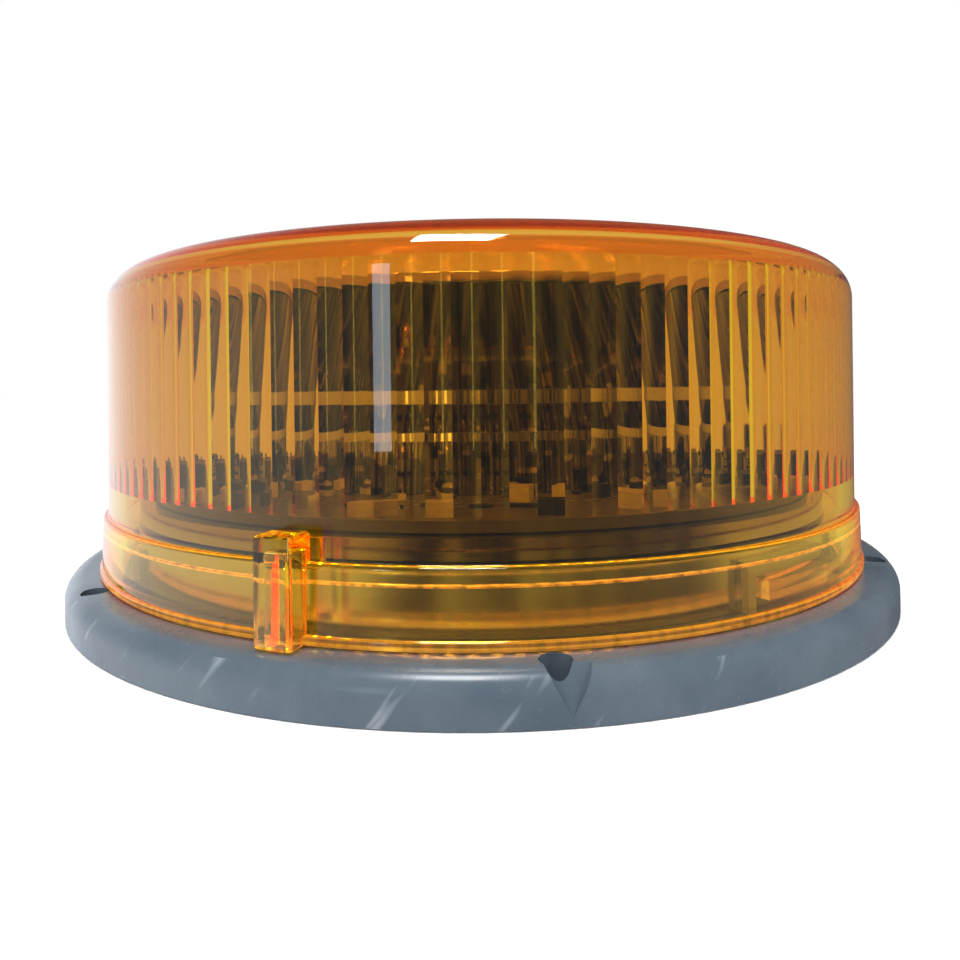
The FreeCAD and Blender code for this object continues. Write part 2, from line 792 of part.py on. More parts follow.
make_fuse()
make_lens()

doc.recompute()
for item in doc.Objects:
    if "Invalid" in item.State or "Error" in item.State:
        raise RuntimeError(item.Name + " did not compute")
for part in nodes:
    if part.Shape.isNull() or not part.Shape.isValid():
        raise RuntimeError(part.Label + " has no valid shape")

os.makedirs("parts", exist_ok=True)
for part in nodes:
    part.Shape.exportStep("parts/%s.step" % part.Label)
print(len(nodes), "nodes")
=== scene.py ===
"""Looks of the amber LED beacon: lens, dark flared reflector, board and grey flange.

Lengths are in millimetres, and `MM` turns them into Blender's metres. Angles are in degrees. They
run from the front (-Y) and grow towards +X, as on the CAD part.
"""

import math

import bmesh
import bpy
from mathutils import Matrix, Vector


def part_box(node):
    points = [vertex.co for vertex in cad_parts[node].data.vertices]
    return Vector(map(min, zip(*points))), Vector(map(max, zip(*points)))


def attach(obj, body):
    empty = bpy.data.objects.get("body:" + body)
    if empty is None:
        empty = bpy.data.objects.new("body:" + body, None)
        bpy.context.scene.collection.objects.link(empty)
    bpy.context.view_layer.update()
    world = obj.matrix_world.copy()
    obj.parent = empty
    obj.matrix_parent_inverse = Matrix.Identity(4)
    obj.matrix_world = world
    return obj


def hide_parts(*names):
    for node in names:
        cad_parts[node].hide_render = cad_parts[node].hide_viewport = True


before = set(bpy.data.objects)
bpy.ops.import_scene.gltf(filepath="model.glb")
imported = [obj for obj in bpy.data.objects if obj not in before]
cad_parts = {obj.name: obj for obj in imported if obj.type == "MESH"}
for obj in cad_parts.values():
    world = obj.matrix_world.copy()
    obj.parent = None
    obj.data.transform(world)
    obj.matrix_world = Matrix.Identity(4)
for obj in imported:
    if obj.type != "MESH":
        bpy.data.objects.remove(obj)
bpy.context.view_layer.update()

MM = 0.001

# ---- camera ------------------------------------------------------------------------------------

EYE_DISTANCE = 162.5          # camera to the beacon's axis
EYE_HEIGHT = 38.9
FOCAL = 26.9                  # on a sensor of SENSOR across
SENSOR = 36
EYE_ROLL = -0.72
SHIFT_DOWN = 92 / 960         # the optical axis stands above the middle of the picture

# ---- lens: radii from the axis, and heights ----------------------------------------------------

lens_low, lens_high = (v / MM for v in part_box("lens"))
LENS_LOW, LENS_TOP = lens_low.z, lens_high.z
LIP_R = 76.4
LIP_HIGH = 8.35
LIP_SOFT = 0.45               # rounding of the lip's edges
SKIRT_R = 75.8
SKIRT_INNER = 73.3
SKIRT_STEP = 14.5             # the skirt is thinner inside, below this height
STEP_SOFT = 0.1
LEDGE = 17.2
SOFT = 0.5                    # rounding of the ledge's edge
NECK = 0.2                    # hollow where the wall rises from the ledge
BODY_R = 75.0
WALL_R = 72.4
ROOF = LENS_TOP - 2.6         # underside of the top
CROWN = 6.8                   # rounding of the top's edge, outside and inside
CROWN_INSIDE = 2.75
TOP_EDGE = LENS_TOP - 1.2     # the crown's last part below the flat top
FLUTES = 132
FLUTE_LOW, FLUTE_HIGH = 22.7, 55.6
FLUTE_DEPTH = 0.24
ARC_STEPS = 8                 # faces across one flute
LEAD = 0.04                   # straight lead at the ends of an outline's arcs
GRIP_ANGLE = -19.0
GRIP_ROOT = BODY_R - 0.8      # the grip grows out of the wall from here
GRIP_R = 79.4
GRIP_WIDE = 5.6
GRIP_TOP = 21.1
GRIP_WALL = 1.3               # its pocket leaves this at the sides and in front
GRIP_ROOF = 2.2               # and this on top
GRIP_SOFT = 0.6
PIP_ANGLE = -17.6
PIP_R = 70.8
PIP_ROOT = WALL_R + 0.5
PIP_WIDE = 2.9
PIP_LOW, PIP_HIGH = 15.9, 19.9
PIP_SOFT = 0.3
LUGS, FIRST_LUG, LUG_SWEEP = 3, 40.0, 16.0
LUG_R = 70.4
LUG_LOW, LUG_HIGH = 9.0, 11.7
LUG_STEPS = 24
SEAM = 0.03                   # between the lugs and the skirt

# ---- base --------------------------------------------------------------------------------------

COLLAR_R = 72.6               # the collar lies nearer the axis than this, and above its foot
COLLAR_FOOT = 6.75
LOCK_R = 70.6                 # beyond it the collar has its locking tabs
RIM_R = 80.6                  # the flange's side is beyond this
RIM_HIGH = 6
PADS_R = 58                   # the board has solder pads out to here

# ---- reflector and light emitters --------------------------------------------------------------

cone_low, cone_high = (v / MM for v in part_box("reflector_cone"))
BOARD_TOP = cone_low.z
DRUM_FOOT = 45.2
BAND_ONE = (46.0, 30.3, 31.7)  # radius, low edge, high edge
BAND_TWO = (48.2, 36.4, 38.6)
DRUM_RIM = (cone_high.x, cone_high.z - 1.6, cone_high.z)
RIM_STEP = 1                  # the rim stands out from the flare by this
DRUM_WALL = 0.8
EDGE = 0.22                   # rounding of the reflector's edges
WINDOW_R = 2.7
SCREW_WAY = 1.7
LED_THICK = 0.9
DOME_R = 1.6
LED_RINGS = {                 # radius of the ring, count, angle of the first
    "inner_led_domes": (22.0, 12, 0),
    "outer_led_domes": (47.4, 18, 10),
}


def around(radius, angle, height):
    """A point in metres, at a radius and height in millimetres and an angle from the front."""
    turn = math.radians(angle)
    return Vector((radius * math.sin(turn), -radius * math.cos(turn), height)) * MM


def new_object(name, mesh, body):
    """Puts a mesh in the scene as a piece that moves with a body."""
    piece = bpy.data.objects.new(name, mesh)
    bpy.context.collection.objects.link(piece)
    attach(piece, body)
    return piece


def as_mesh(bm, name):
    """Ends a bmesh as a mesh of a name."""
    mesh = bpy.data.meshes.new(name)
    bm.to_mesh(mesh)
    bm.free()
    return mesh


def smooth(mesh, angle=30):
    """Smooth shading, with edges sharper than an angle kept."""
    mesh.polygons.foreach_set("use_smooth", [True] * len(mesh.polygons))
    mesh.set_sharp_from_angle(angle=math.radians(angle))


def arc(centre, radius, start, end, steps=8):
    """Points (r, z) of an arc in the outline plane, angles in degrees from +r.

    A short straight lead at each end keeps the shading of the long faces beside it flat.
    """
    turns = [math.radians(start + (end - start) * i / steps) for i in range(steps + 1)]
    points = [(centre[0] + radius * math.cos(t), centre[1] + radius * math.sin(t)) for t in turns]
    lead = LEAD if end > start else -LEAD
    for turn, way, place in ((turns[0], -lead, 0), (turns[-1], lead, len(points) + 1)):
        r, z = points[0] if place == 0 else points[-1]
        points.insert(place, (r - way * math.sin(turn), z + way * math.cos(turn)))
    return points


def softened(corners, radius, steps=4):
    """An outline of (r, z) corners, closed, with each corner rounded by a small arc."""
    outline = []
    count = len(corners)
    for i, corner in enumerate(corners):
        here = Vector(corner)
        back = (Vector(corners[i - 1]) - here).normalized()
        ahead = (Vector(corners[(i + 1) % count]) - here).normalized()
        half = back.angle(ahead) / 2
        reach = radius / math.tan(half)
        middle = here + (back + ahead).normalized() * radius / math.sin(half)
        begin = here + back * reach - middle
        end = here + ahead * reach - middle
        outline.append(tuple(here + back * (reach + LEAD)))
        for k in range(steps + 1):
            spoke = begin.lerp(end, k / steps).normalized() * radius
            outline.append(tuple(middle + spoke))
        outline.append(tuple(here + ahead * (reach + LEAD)))
    return outline


def turned(name, outline, steps, shape=None):
    """A mesh that turns a closed outline of (r, z) points about the axis.

    shape(row, angle) may give another radius for a row's point at an angle.
    """
    angles = [360.0 * i / steps for i in range(steps)]
    verts = []
    faces = []
    rows = []
    for row, (r, z) in enumerate(outline):
        if r == 0:
            rows.append([len(verts)] * steps)
            verts.append((0, 0, z * MM))
            continue
        rows.append(range(len(verts), len(verts) + steps))
        for angle in angles:
            radius = shape(row, angle) if shape else r
            verts.append(tuple(around(radius, angle, z)))
    count = len(outline)
    for row in range(count):
        below, above = rows[row], rows[(row + 1) % count]
        for i in range(steps):
            k = (i + 1) % steps
            face = []
            for v in (below[i], below[k], above[k], above[i]):
                if v not in face:
                    face.append(v)
            if len(face) > 2:
                faces.append(face)
    mesh = bpy.data.meshes.new(name)
    mesh.from_pydata(verts, [], faces)
    mesh.update()
    return mesh


# ---- node trees --------------------------------------------------------------------------------


class Graph:
    """A node tree, with short ways to add nodes and feed them."""

    def __init__(self, tree):
        self.tree = tree

    def node(self, kind, **settings):
        """A new node. A setting names a socket, with _ for each space, or else a property."""
        made = self.tree.nodes.new(kind)
        for key, value in settings.items():
            socket = key.replace("_", " ")
            if socket in made.inputs:
                made.inputs[socket].default_value = value
            else:
                setattr(made, key, value)
        return made

    def link(self, out, into):
        self.tree.links.new(out, into)

    def maths(self, kind, first, second):
        """A maths node on two values, each a number or another node's output."""
        made = self.node("ShaderNodeMath", operation=kind)
        for socket, value in zip(made.inputs, (first, second)):
            if isinstance(value, (int, float)):
                socket.default_value = value
            else:
                self.link(value, socket)
        return made.outputs[0]


class Look(Graph):
    """A material under construction: a Principled shader and short ways to feed it."""

    def __init__(self, name, colour=(0.5, 0.5, 0.5), rough=0.5, **settings):
        self.material = bpy.data.materials.new(name)
        self.material.use_nodes = True
        super().__init__(self.material.node_tree)
        self.shader = self.tree.nodes["Principled BSDF"]
        self.shader.inputs["Base Color"].default_value = (*colour, 1)
        self.shader.inputs["Roughness"].default_value = rough
        for key, value in settings.items():
            self.shader.inputs[key.replace("_", " ")].default_value = value

    def feed(self, source, socket):
        """Links a value to one of the shader's sockets."""
        self.link(source, self.shader.inputs[socket])

    def place(self, stretch=(1, 1, 1), slant=0):
        """Object coordinates in millimetres, stretched, and slanted in the front's plane."""
        source = self.node("ShaderNodeTexCoord")
        scaled = self.node("ShaderNodeMapping", vector_type="TEXTURE" if slant else "POINT")
        scaled.inputs["Rotation"].default_value = (0, math.radians(slant), 0)
        share = [MM / s for s in stretch] if slant else [s / MM for s in stretch]
        scaled.inputs["Scale"].default_value = share
        self.link(source.outputs["Object"], scaled.inputs["Vector"])
        return scaled.outputs["Vector"]

    def noise(self, scale, detail=4.0, rough=0.5, stretch=(1, 1, 1), slant=0):
        """Noise whose patches are about 1 / scale millimetres across."""
        made = self.node("ShaderNodeTexNoise", Scale=scale, Detail=detail, Roughness=rough)
        self.link(self.place(stretch, slant), made.inputs["Vector"])
        return made.outputs["Fac"]

    def spokes(self, scale):
        """Noise that changes round the axis only, so that it runs straight up any revolve."""
        outward = self.node("ShaderNodeVectorMath", operation="NORMALIZE")
        self.link(self.place((1, 1, 0)), outward.inputs[0])
        made = self.node("ShaderNodeTexNoise", Scale=scale, Detail=2.0, Roughness=0.6)
        self.link(outward.outputs["Vector"], made.inputs["Vector"])
        return made.outputs["Fac"]

    def ramp(self, source, *stops):
        """Maps a value through stops, each a position with a grey value or a colour."""
        made = self.node("ShaderNodeValToRGB")
        points = made.color_ramp.elements
        while len(points) < len(stops):
            points.new(0.5)
        for point, (position, value) in zip(points, stops):
            point.position = position
            point.color = (*value, 1) if isinstance(value, tuple) else (value, value, value, 1)
        self.link(source, made.inputs["Fac"])
        return made.outputs["Color"]

    def blend(self, amount, under, over):
        """Mixes two colours, each a value or another node's output."""
        made = self.node("ShaderNodeMix", data_type="RGBA")
        self.link(amount, made.inputs["Factor"])
        first, second = made.inputs[6], made.inputs[7]     # the two colour sockets
        for socket, colour in ((first, under), (second, over)):
            if isinstance(colour, tuple):
                socket.default_value = (*colour, 1)
            else:
                self.link(colour, socket)
        return made.outputs[2]

    def zone(self, near, far, low, high):
        """1 between two radii and two heights, in millimetres, else 0."""
        parts = self.node("ShaderNodeSeparateXYZ")
        self.link(self.place(), parts.inputs[0])
        x, y, z = parts.outputs
        square = self.maths("ADD", self.maths("MULTIPLY", x, x), self.maths("MULTIPLY", y, y))
        mask = 1.0
        for value, least, most in ((square, near ** 2, far ** 2), (z, low, high)):
            mask = self.maths("MULTIPLY", mask, self.maths("GREATER_THAN", value, least))
            mask = self.maths("MULTIPLY", mask, self.maths("LESS_THAN", value, most))
        return mask

    def bump(self, source, strength, distance):
        """Raises the surface by a value, by up to a distance in millimetres."""
        made = self.node("ShaderNodeBump", Strength=strength, Distance=distance * MM)
        self.link(source, made.inputs["Height"])
        self.feed(made.outputs["Normal"], "Normal")


# ---- materials ---------------------------------------------------------------------------------

AMBER = (1.0, 0.73, 0.42)
AMBER_IOR = 1.58
LUG_IOR = 1.12                # low, so that the lugs show only faintly
SILICONE_IOR = 1.45
PAINTED_TINTS = [                     # zones of the lens with their own tint, painted light and shade on one moulding: radii and heights, colour
    ((0, SKIRT_R + 0.1, LENS_LOW - 1, LEDGE + 0.05), (1.0, 0.81, 0.58)),
    ((0, BODY_R + 0.1, LEDGE + 0.05, FLUTE_HIGH), (0.89, 0.59, 0.28)),
    ((0, BODY_R + 0.1, FLUTE_HIGH, TOP_EDGE), (0.93, 0.43, 0.2)),
    ((0, BODY_R + 0.1, TOP_EDGE, LENS_TOP + 1), (1.0, 0.68, 0.38)),
    ((SKIRT_R + 0.02, LIP_R + 0.1, LENS_LOW - 1, LIP_HIGH), (1.0, 0.5, 0.24)),
    ((LIP_R + 0.1, GRIP_R + 1, LENS_LOW - 1, GRIP_TOP + 1), (1.0, 0.9, 0.65)),
]
LOSS = (1.0, 0.993, 0.7)      # what the moulding's mass lets through
LOSS_DENSITY = 1000.0
# painted glow: orange emission on the lip and the inner step, beaded by noise, where light runs along
# the moulding's edges
PAINTED_GLOW = (1.0, 0.3, 0.04)
LIP_PAINTED_GLOW = 0.22
STEP_PAINTED_GLOW = 0.7

DEEP_GREY = (0.065, 0.095, 0.125)
PALE_GREY = (0.115, 0.145, 0.175)
SCUFF = (0.42, 0.46, 0.5)
SCUFF_SLANT = 40
PLATED = (0.7, 0.7, 0.69)
PLATED_SHARE = 0.85           # how metallic the collar is
PLATED_ROUGH = (0.18, 0.18, 0.18)

SMOKE = (0.22, 0.21, 0.19)
SMOKE_EDGE = (0.35, 0.34, 0.32, 1)
DARK_REFLECTED_STREAK = (0.05, 0.045, 0.04)
PALE_REFLECTED_STREAK = (0.55, 0.5, 0.4)
# painted highlight on the reflector's upright bands and rim
PAINTED_BAND_HIGHLIGHT = (0.55, 0.52, 0.42)
REFLECTED_STREAKS = 70                  # the reflector's painted streaks, standing in for the board mirrored in it: more of them make each finer

SOLDER_MASK = (0.17, 0.165, 0.06)
TIN = (0.85, 0.82, 0.7)


def amber():
    """Polished amber polycarbonate: a tint for each zone as painted light and shade, and a painted glow
    on the lower edges.
    """
    look = Look("amber_polycarbonate", AMBER, 0.02, IOR=AMBER_IOR, Transmission_Weight=1.0)
    # painted light and shade: each zone's tint stands in for how light passes through that part
    painted_tint = AMBER
    for zone, colour in PAINTED_TINTS:
        painted_tint = look.blend(look.zone(*zone), painted_tint, colour)
    look.feed(painted_tint, "Base Color")
    # painted glow on the lip's outer faces and on the inner step's underside
    lip = look.zone(SKIRT_R - 0.1, GRIP_R + 1, 0, LIP_HIGH)
    step = look.zone(WALL_R - 0.1, SKIRT_INNER + 0.1, SKIRT_STEP - 0.3, SKIRT_STEP + 0.1)
    beads = look.ramp(look.noise(0.7, 2, 0.5, (1, 1, 0)), (0.35, 0.25), (0.6, 1.0))
    lip_part = look.maths("MULTIPLY", lip, LIP_PAINTED_GLOW)
    step_part = look.maths("MULTIPLY", step, STEP_PAINTED_GLOW)
    painted_glow = look.maths("MULTIPLY", look.maths("ADD", lip_part, step_part), beads)
    look.shader.inputs["Emission Color"].default_value = (*PAINTED_GLOW, 1)
    look.feed(painted_glow, "Emission Strength")
    loss = look.node("ShaderNodeVolumeAbsorption", Color=(*LOSS, 1), Density=LOSS_DENSITY)
    look.link(loss.outputs["Volume"], look.tree.nodes["Material Output"].inputs["Volume"])
    return look.material


def flange_plastic():
    """Blue-grey moulding with a soft gloss and pale scuffs; inside the lens it is plated."""
    look = Look("blue_grey_plastic", PALE_GREY, 0.3)
    cloud = look.ramp(look.noise(0.06, 5, 0.6), (0.3, DEEP_GREY), (0.7, PALE_GREY))
    streaks = look.noise(0.05, 3, 0.6, stretch=(5, 1, 0.6), slant=SCUFF_SLANT)
    side = look.zone(RIM_R, 90, 0, RIM_HIGH)
    scuffs = look.maths("MULTIPLY", look.ramp(streaks, (0.6, 0.0), (0.72, 0.7)), side)
    worn = look.blend(scuffs, cloud, SCUFF)
    collar = look.zone(0, COLLAR_R, COLLAR_FOOT, LENS_TOP)
    locks = look.zone(LOCK_R, COLLAR_R, COLLAR_FOOT, LENS_TOP)
    look.feed(look.blend(collar, worn, PLATED), "Base Color")
    gloss = look.ramp(look.noise(0.2, 6, 0.7), (0.3, 0.2), (0.7, 0.3))
    look.feed(look.blend(collar, gloss, PLATED_ROUGH), "Roughness")
    plated = look.maths("MULTIPLY", look.maths("SUBTRACT", collar, locks), PLATED_SHARE)
    look.feed(plated, "Metallic")
    return look.material


def dark_mirror():
    """Smoky metallised plastic, with painted reflections: fine streaks round the axis stand in for the
    mirrored board, and the upright bands and the rim are painted lighter as highlights.
    """
    look = Look("dark_metallised", SMOKE, 0.06, Metallic=1.0, Specular_Tint=SMOKE_EDGE)
    # painted highlights: the upright bands and the rim are lighter, where bright lines show on them
    painted_highlights = 0.0
    for radius, low, high in (BAND_ONE, BAND_TWO, DRUM_RIM):
        band = look.zone(radius - 0.3, radius + 0.3, low - 0.1, high + 0.1)
        painted_highlights = look.maths("ADD", painted_highlights, band)
    # painted reflection: streaks round the axis stand in for the board's parts mirrored in the flare
    streaks = look.ramp(look.spokes(REFLECTED_STREAKS), (0.4, DARK_REFLECTED_STREAK), (0.64, PALE_REFLECTED_STREAK))
    look.feed(look.blend(painted_highlights, streaks, PAINTED_BAND_HIGHLIGHT), "Base Color")
    look.feed(look.ramp(look.noise(0.4, 4, 0.6), (0.3, 0.03), (0.7, 0.1)), "Roughness")
    return look.material


def polished_plate():
    """Bare aluminium sheet, lightly clouded."""
    look = Look("bare_aluminium", (0.45, 0.44, 0.4), 0.12, Metallic=1.0)
    look.feed(look.ramp(look.noise(0.15, 3), (0.3, 0.08), (0.7, 0.2)), "Roughness")
    return look.material


def board():
    """Solder mask with tinned pads."""
    look = Look("solder_mask", SOLDER_MASK, 0.3)
    cells = look.node("ShaderNodeTexVoronoi", Scale=0.7)
    look.link(look.place(), cells.inputs["Vector"])
    dots = look.ramp(cells.outputs["Distance"], (0.22, 1.0), (0.26, 0.0))
    pads = look.maths("MULTIPLY", dots, look.zone(0, PADS_R, 0, LENS_TOP))
    look.feed(look.blend(pads, SOLDER_MASK, TIN), "Base Color")
    look.feed(pads, "Metallic")
    return look.material


def plain(name, colour, rough, speck=0.12, scale=1.2, **settings):
    """A moulded or metal finish with slight variation in tone and a fine grain."""
    look = Look(name, colour, rough, **settings)
    light = tuple(min(1.0, c * (1 + speck)) for c in colour)
    dark = tuple(c * (1 - speck) for c in colour)
    look.feed(look.ramp(look.noise(scale, 3), (0.3, dark), (0.7, light)), "Base Color")
    look.bump(look.noise(scale * 5, 2), strength=0.1, distance=0.03)
    return look.material


# ---- lens --------------------------------------------------------------------------------------


def standing_box(name, angle, near, far, wide, low, high, radius):
    """A box with rounded edges between two radii, square to the ray at an angle."""
    corner = Vector((-wide / 2, -far, low)) * MM
    opposite = Vector((wide / 2, -near, high)) * MM
    middle = (corner + opposite) / 2
    span = opposite - corner
    bm = bmesh.new()
    bmesh.ops.create_cube(bm, size=1.0)
    for v in bm.verts:
        v.co = middle + v.co * span
    bmesh.ops.bevel(bm, geom=bm.edges[:], offset=radius * MM, segments=3, profile=0.5, affect="EDGES")
    turn = Matrix.Rotation(math.radians(angle), 3, "Z")
    bmesh.ops.rotate(bm, cent=(0, 0, 0), matrix=turn, verts=bm.verts)
    return as_mesh(bm, name)


def joined(mesh, others, operation):
    """Adds solids to a mesh, or cuts them from it: operation is UNION or DIFFERENCE."""
    whole = bpy.data.objects.new("whole", mesh)
    bpy.context.collection.objects.link(whole)
    tools = []
    for other in others:
        tool = bpy.data.objects.new("tool", other)
        bpy.context.collection.objects.link(tool)
        tools.append(tool)
        step = whole.modifiers.new("step", "BOOLEAN")
        step.operation = operation
        step.solver = "MANIFOLD"
        step.object = tool
    bpy.context.view_layer.update()
    graph = bpy.context.evaluated_depsgraph_get()
    result = bpy.data.meshes.new_from_object(whole.evaluated_get(graph))
    result.materials.clear()      # it comes with an empty slot, which would hide the next one
    for made in [whole] + tools:
        bpy.data.objects.remove(made)
    return result


def fluted(row, angle):
    """The inner wall's radius across the flutes, each an arch that stands inwards."""
    across = ((angle * FLUTES / 360.0) % 1.0) * 2 - 1
    return WALL_R + FLUTE_DEPTH * across * across


def make_lens():
    """The amber moulding with arched flutes inside its wall, its grip and its pip."""
    outline = [(SKIRT_INNER, LENS_LOW)]
    outline += arc((LIP_R - LIP_SOFT, LENS_LOW + LIP_SOFT), LIP_SOFT, -90, 0)
    outline += arc((LIP_R - LIP_SOFT, LIP_HIGH - LIP_SOFT), LIP_SOFT, 0, 70)
    outline += arc((SKIRT_R - SOFT, LEDGE - SOFT), SOFT, 0, 90)
    outline += arc((BODY_R + NECK, LEDGE + NECK), NECK, 270, 180)
    outline += arc((BODY_R - CROWN, LENS_TOP - CROWN), CROWN, 0, 90, 20)
    outline += [(0.0, LENS_TOP), (0.0, ROOF)]
    outline += arc((WALL_R - CROWN_INSIDE, ROOF - CROWN_INSIDE), CROWN_INSIDE, 90, 0, 12)
    wall = len(outline)
    outline += [(WALL_R, FLUTE_HIGH), (WALL_R, FLUTE_LOW)]
    outline += [(WALL_R, FLUTE_LOW), (WALL_R, SKIRT_STEP)]
    outline += arc((SKIRT_INNER - STEP_SOFT, SKIRT_STEP - STEP_SOFT), STEP_SOFT, 90, 0, 3)

    def radius(row, angle):
        return fluted(row, angle) if row in (wall, wall + 1) else outline[row][0]

    body = turned("amber_lens", outline, FLUTES * ARC_STEPS, radius)
    grip = standing_box("grip", GRIP_ANGLE, GRIP_ROOT, GRIP_R, GRIP_WIDE, LENS_LOW, GRIP_TOP, GRIP_SOFT)
    pip = standing_box("pip", PIP_ANGLE, PIP_R, PIP_ROOT, PIP_WIDE, PIP_LOW, PIP_HIGH, PIP_SOFT)
    pocket = standing_box("grip_pocket", GRIP_ANGLE, BODY_R, GRIP_R - GRIP_WALL,
                          GRIP_WIDE - 2 * GRIP_WALL, LENS_LOW - 1, GRIP_TOP - GRIP_ROOF, PIP_SOFT)
    mesh = joined(joined(body, [grip, pip], "UNION"), [pocket], "DIFFERENCE")
    mesh.name = "amber_lens"
    smooth(mesh, 24)
    piece = new_object("amber_lens", mesh, "lens")
    mesh.materials.append(LOOKS["amber"])
    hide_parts("lens")


def make_lugs():
    """The locking lugs inside the skirt: bars that follow it, with square ends."""
    back = SKIRT_INNER - SEAM
    section = [(LUG_R, LUG_LOW), (back, LUG_LOW), (back, LUG_HIGH), (LUG_R, LUG_HIGH)]
    bm = bmesh.new()
    for lug in range(LUGS):
        start = FIRST_LUG + 360 / LUGS * lug - LUG_SWEEP / 2
        rings = []
        for i in range(LUG_STEPS + 1):
            angle = start + LUG_SWEEP * i / LUG_STEPS
            rings.append([bm.verts.new(around(r, angle, z)) for r, z in section])
        for ring, ahead in zip(rings, rings[1:]):
            for k in range(4):
                bm.faces.new((ring[k], ring[(k + 1) % 4], ahead[(k + 1) % 4], ahead[k]))
        bm.faces.new(rings[0][::-1])
        bm.faces.new(rings[-1])
    bmesh.ops.recalc_face_normals(bm, faces=bm.faces)
    mesh = as_mesh(bm, "lens_lugs")
    smooth(mesh)
    piece = new_object("lens_lugs", mesh, "lens")
    mesh.materials.append(LOOKS["lug"])


# ---- reflector and light emitters --------------------------------------------------------------


def round_bar(name, place, radius, reach):
    """An upright cylinder round a point, as far above it as below."""
    bm = bmesh.new()
    bmesh.ops.create_cone(bm, cap_ends=True, segments=32, radius1=radius * MM, radius2=radius * MM,
                          depth=2 * reach * MM)
    bmesh.ops.translate(bm, verts=bm.verts, vec=place)
    return as_mesh(bm, name)


def make_reflector():
    """The flared mirror drum, with fine rounded edges that catch the light."""
    rim, rim_low, rim_top = DRUM_RIM
    flare = rim - RIM_STEP
    outline = [(DRUM_FOOT, BOARD_TOP)]
    for radius, low, high in (BAND_ONE, BAND_TWO):
        outline += [(radius, low), (radius, high)]
    outline += [(flare, rim_low), (rim, rim_low), (rim, rim_top), (flare - DRUM_WALL, rim_top)]
    for radius, low, high in (BAND_TWO, BAND_ONE):
        outline.append((radius - DRUM_WALL, high))
    outline.append((DRUM_FOOT - DRUM_WALL, BOARD_TOP + DRUM_WALL))
    outline += [(SCREW_WAY, BOARD_TOP + DRUM_WALL), (SCREW_WAY, BOARD_TOP)]
    mesh = turned("flared_reflector", softened(outline, EDGE), 2 * FLUTES)
    ring, count, first = LED_RINGS["inner_led_domes"]
    windows = []
    for i in range(count):
        place = around(ring, first + 360 / count * i, BOARD_TOP)
        windows.append(round_bar("window", place, WINDOW_R, 2 * DRUM_WALL))
    mesh = joined(mesh, windows, "DIFFERENCE")
    smooth(mesh, 40)
    piece = new_object("flared_reflector", mesh, "base")
    mesh.materials.append(LOOKS["mirror"])
    mesh.materials.append(LOOKS["painted_lit_mirror"])
    # painted light: the inward and upward faces get pale metal, standing in for light inside the bowl
    for face in mesh.polygons:
        outward = face.normal.x * face.center.x + face.normal.y * face.center.y
        inside = outward < 0 or face.normal.z > 0.9
        face.material_index = 1 if inside else 0
    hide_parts("reflector_cone")


def make_led_domes(node, radius, count, first):
    """A clear half sphere on each light emitter of a ring."""
    bm = bmesh.new()
    for i in range(count):
        centre = around(radius, first + 360 / count * i, BOARD_TOP + LED_THICK)
        made = bmesh.ops.create_uvsphere(bm, u_segments=24, v_segments=16, radius=DOME_R * MM)["verts"]
        lower = [v for v in made if v.co.z < -1e-7]
        upper = [v for v in made if v.co.z >= -1e-7]
        bmesh.ops.delete(bm, geom=lower, context="VERTS")
        bmesh.ops.translate(bm, verts=upper, vec=centre)
    rims = [e for e in bm.edges if e.is_boundary]
    bmesh.ops.holes_fill(bm, edges=rims, sides=0)
    mesh = as_mesh(bm, "round_" + node)
    smooth(mesh, 40)
    piece = new_object("round_" + node, mesh, "base")
    mesh.materials.append(LOOKS["dome"])
    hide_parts(node)


# ---- finish the CAD nodes ----------------------------------------------------------------------

LOOKS = {                     # colour, roughness
    "amber": amber(),
    "lug": Look("amber_lug", AMBER, 0.02, IOR=LUG_IOR, Transmission_Weight=1.0).material,
    "dome": Look("clear_dome", (1, 1, 1), 0.02, IOR=SILICONE_IOR, Transmission_Weight=1.0).material,
    "flange": flange_plastic(),
    "mirror": dark_mirror(),
    # pale metal as painted light inside the reflector's bowl
    "painted_lit_mirror": plain("painted_lit_metallised", (0.85, 0.84, 0.8), 0.15, 0.05, Metallic=1.0),
    "rubber": plain("black_rubber", (0.02, 0.02, 0.022), 0.6),
    "bare_metal": polished_plate(),
    "board": board(),
    "yellow": plain("tantalum_yellow", (0.95, 0.8, 0.16), 0.3),
    "tan": plain("ceramic_tan", (0.85, 0.72, 0.42), 0.35),
    "epoxy": plain("black_epoxy", (0.02, 0.02, 0.02), 0.45),
    "steel": plain("zinc_steel", (0.7, 0.68, 0.62), 0.25, Metallic=1.0),
    "tinned": plain("tinned_metal", (0.8, 0.78, 0.7), 0.2, Metallic=1.0),
    "ferrite": plain("ferrite", (0.06, 0.06, 0.065), 0.5),
    "can": plain("can_aluminium", (0.8, 0.8, 0.8), 0.25, Metallic=1.0),
    "white": plain("led_package", (0.9, 0.85, 0.55), 0.35),
    "green": plain("terminal_green", (0.03, 0.2, 0.09), 0.4),
    "pad": plain("silicone_pad", (0.4, 0.42, 0.45), 0.7),
}

